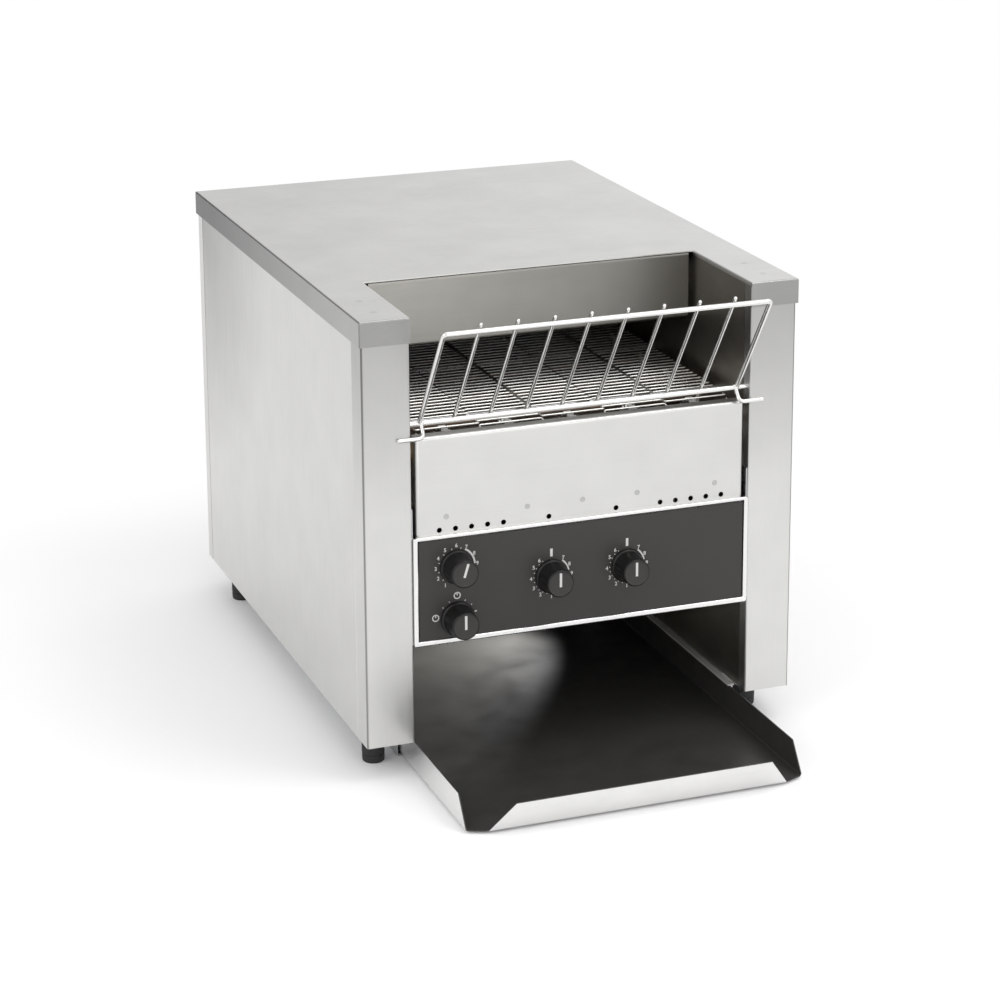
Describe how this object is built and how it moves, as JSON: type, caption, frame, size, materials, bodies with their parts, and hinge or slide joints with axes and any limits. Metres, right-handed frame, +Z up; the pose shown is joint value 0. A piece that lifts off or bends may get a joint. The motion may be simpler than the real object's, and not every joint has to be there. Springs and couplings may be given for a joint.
{
  "type": "conveyor toaster",
  "caption": "Counter-top conveyor toaster with a folding wire feed rack, a wire belt between heater tubes, dials on a front panel, a return slide and a pull-out toast tray.",
  "frame": {"origin": "centre of the footprint's bounding box, on the surface that the feet stand on", "axes": "+Z up; -Y towards the user, where the rack, the dials and the tray are; +X to the user's right"},
  "size_m": [0.37, 0.6218, 0.3858],
  "materials": {
    "case_steel": "fine brushed stainless",
    "polished_trim": "bright rolled stainless",
    "chamber_steel": "heat-dulled stainless",
    "plated_steel": "zinc plated",
    "insulation": "needled fibre blanket",
    "heater_tube": "heat-browned alloy sheath",
    "ceramic": "glazed ceramic",
    "belt_wire": "drawn stainless wire",
    "sprocket_steel": "machined steel",
    "bronze": "sintered bronze",
    "motor_paint": "semi-gloss paint",
    "control_overlay": "satin black printed panel",
    "circuit_board": "lacquered board",
    "control_body": "moulded phenolic",
    "knob_plastic": "satin moulded",
    "rack_wire": "bright stainless wire",
    "tray_coating": "black non-stick coating",
    "foot_rubber": "moulded rubber",
    "fan_plastic": "moulded",
    "terminal_plastic": "moulded"
  },
  "bodies": {
    "chassis": {"top_cover": "case_steel", "left_side_panel": "case_steel", "right_side_panel": "case_steel", "left_column": "case_steel", "right_column": "case_steel", "rear_panel": "case_steel", "front_panel": "case_steel", "control_bezel": "polished_trim", "hood_front": "case_steel", "left_inner_wall": "chamber_steel", "right_inner_wall": "chamber_steel", "upper_reflector": "chamber_steel", "lower_deck": "chamber_steel", "base_plate": "plated_steel", "left_rear_post": "plated_steel", "right_rear_post": "plated_steel", "control_box": "plated_steel", "left_tray_runner": "plated_steel", "right_tray_runner": "plated_steel", "hood_insulation": "insulation", "upper_heaters": "heater_tube", "lower_heaters": "heater_tube", "heater_insulators": "ceramic", "belt": "belt_wire", "belt_rails": "chamber_steel", "rail_cross_rods": "plated_steel", "front_bushes": "bronze", "rear_bushes": "bronze", "gear_motor": "motor_paint", "motor_posts": "plated_steel", "control_plate": "control_overlay", "speed_board": "circuit_board", "speed_control": "control_body", "selector_switch": "control_body", "top_heat_control": "control_body", "bottom_heat_control": "control_body", "slide": "tray_coating", "feet": "foot_rubber", "foot_nuts": "plated_steel", "fan_frame": "fan_plastic", "cord_gland": "fan_plastic", "terminal_block": "terminal_plastic", "rear_screws": "plated_steel"},
    "feed_rack_body": {"feed_rack": "rack_wire"},
    "toast_tray_body": {"toast_tray": "tray_coating"},
    "speed_dial": {"speed_knob": "knob_plastic", "speed_spindle": "plated_steel"},
    "selector_dial": {"selector_knob": "knob_plastic", "selector_spindle": "plated_steel"},
    "top_heat_dial": {"top_heat_knob": "knob_plastic", "top_heat_spindle": "plated_steel"},
    "bottom_heat_dial": {"bottom_heat_knob": "knob_plastic", "bottom_heat_spindle": "plated_steel"},
    "front_shaft_set": {"front_shaft": "plated_steel", "front_sprockets": "sprocket_steel"},
    "rear_shaft_set": {"rear_shaft": "plated_steel", "rear_sprockets": "sprocket_steel", "drive_coupling": "plated_steel"},
    "fan_wheel": {"fan_rotor": "fan_plastic"}
  },
  "joints": [
    {"name": "rack_fold", "type": "hinge", "parent": "chassis", "child": "feed_rack_body", "pos_m": [0, -0.17408, 0.2924], "axis": [-1, 0, 0], "range_deg": [0, 102.6]},
    {"name": "tray_slide", "type": "slide", "parent": "chassis", "child": "toast_tray_body", "axis": [0, -1, 0], "range_m": [0, 0.2]},
    {"name": "speed_turn", "type": "hinge", "parent": "chassis", "child": "speed_dial", "pos_m": [-0.1078, -0.19008, 0.1738], "axis": [0, 1, 0], "range_deg": [-152, 118]},
    {"name": "selector_turn", "type": "hinge", "parent": "chassis", "child": "selector_dial", "pos_m": [-0.1075, -0.19008, 0.1305], "axis": [0, 1, 0], "range_deg": [-90, 90]},
    {"name": "top_heat_turn", "type": "hinge", "parent": "chassis", "child": "top_heat_dial", "pos_m": [-0.0278, -0.19008, 0.1553], "axis": [0, 1, 0], "range_deg": [-135, 135]},
    {"name": "bottom_heat_turn", "type": "hinge", "parent": "chassis", "child": "bottom_heat_dial", "pos_m": [0.0374, -0.19008, 0.1557], "axis": [0, 1, 0], "range_deg": [-135, 135]},
    {"name": "rear_shaft_spin", "type": "hinge", "parent": "chassis", "child": "rear_shaft_set", "pos_m": [0, 0.21831, 0.26011], "axis": [-1, 0, 0], "continuous": true},
    {"name": "front_shaft_spin", "type": "hinge", "parent": "chassis", "child": "front_shaft_set", "pos_m": [0, -0.14969, 0.26011], "axis": [-1, 0, 0], "continuous": true},
    {"name": "fan_spin", "type": "hinge", "parent": "chassis", "child": "fan_wheel", "pos_m": [0, 0.28992, 0.078], "axis": [0, 1, 0], "continuous": true}
  ],
  "couplings": [
    {"joint": "front_shaft_spin", "follows": "rear_shaft_spin", "ratio": 1}
  ]
}
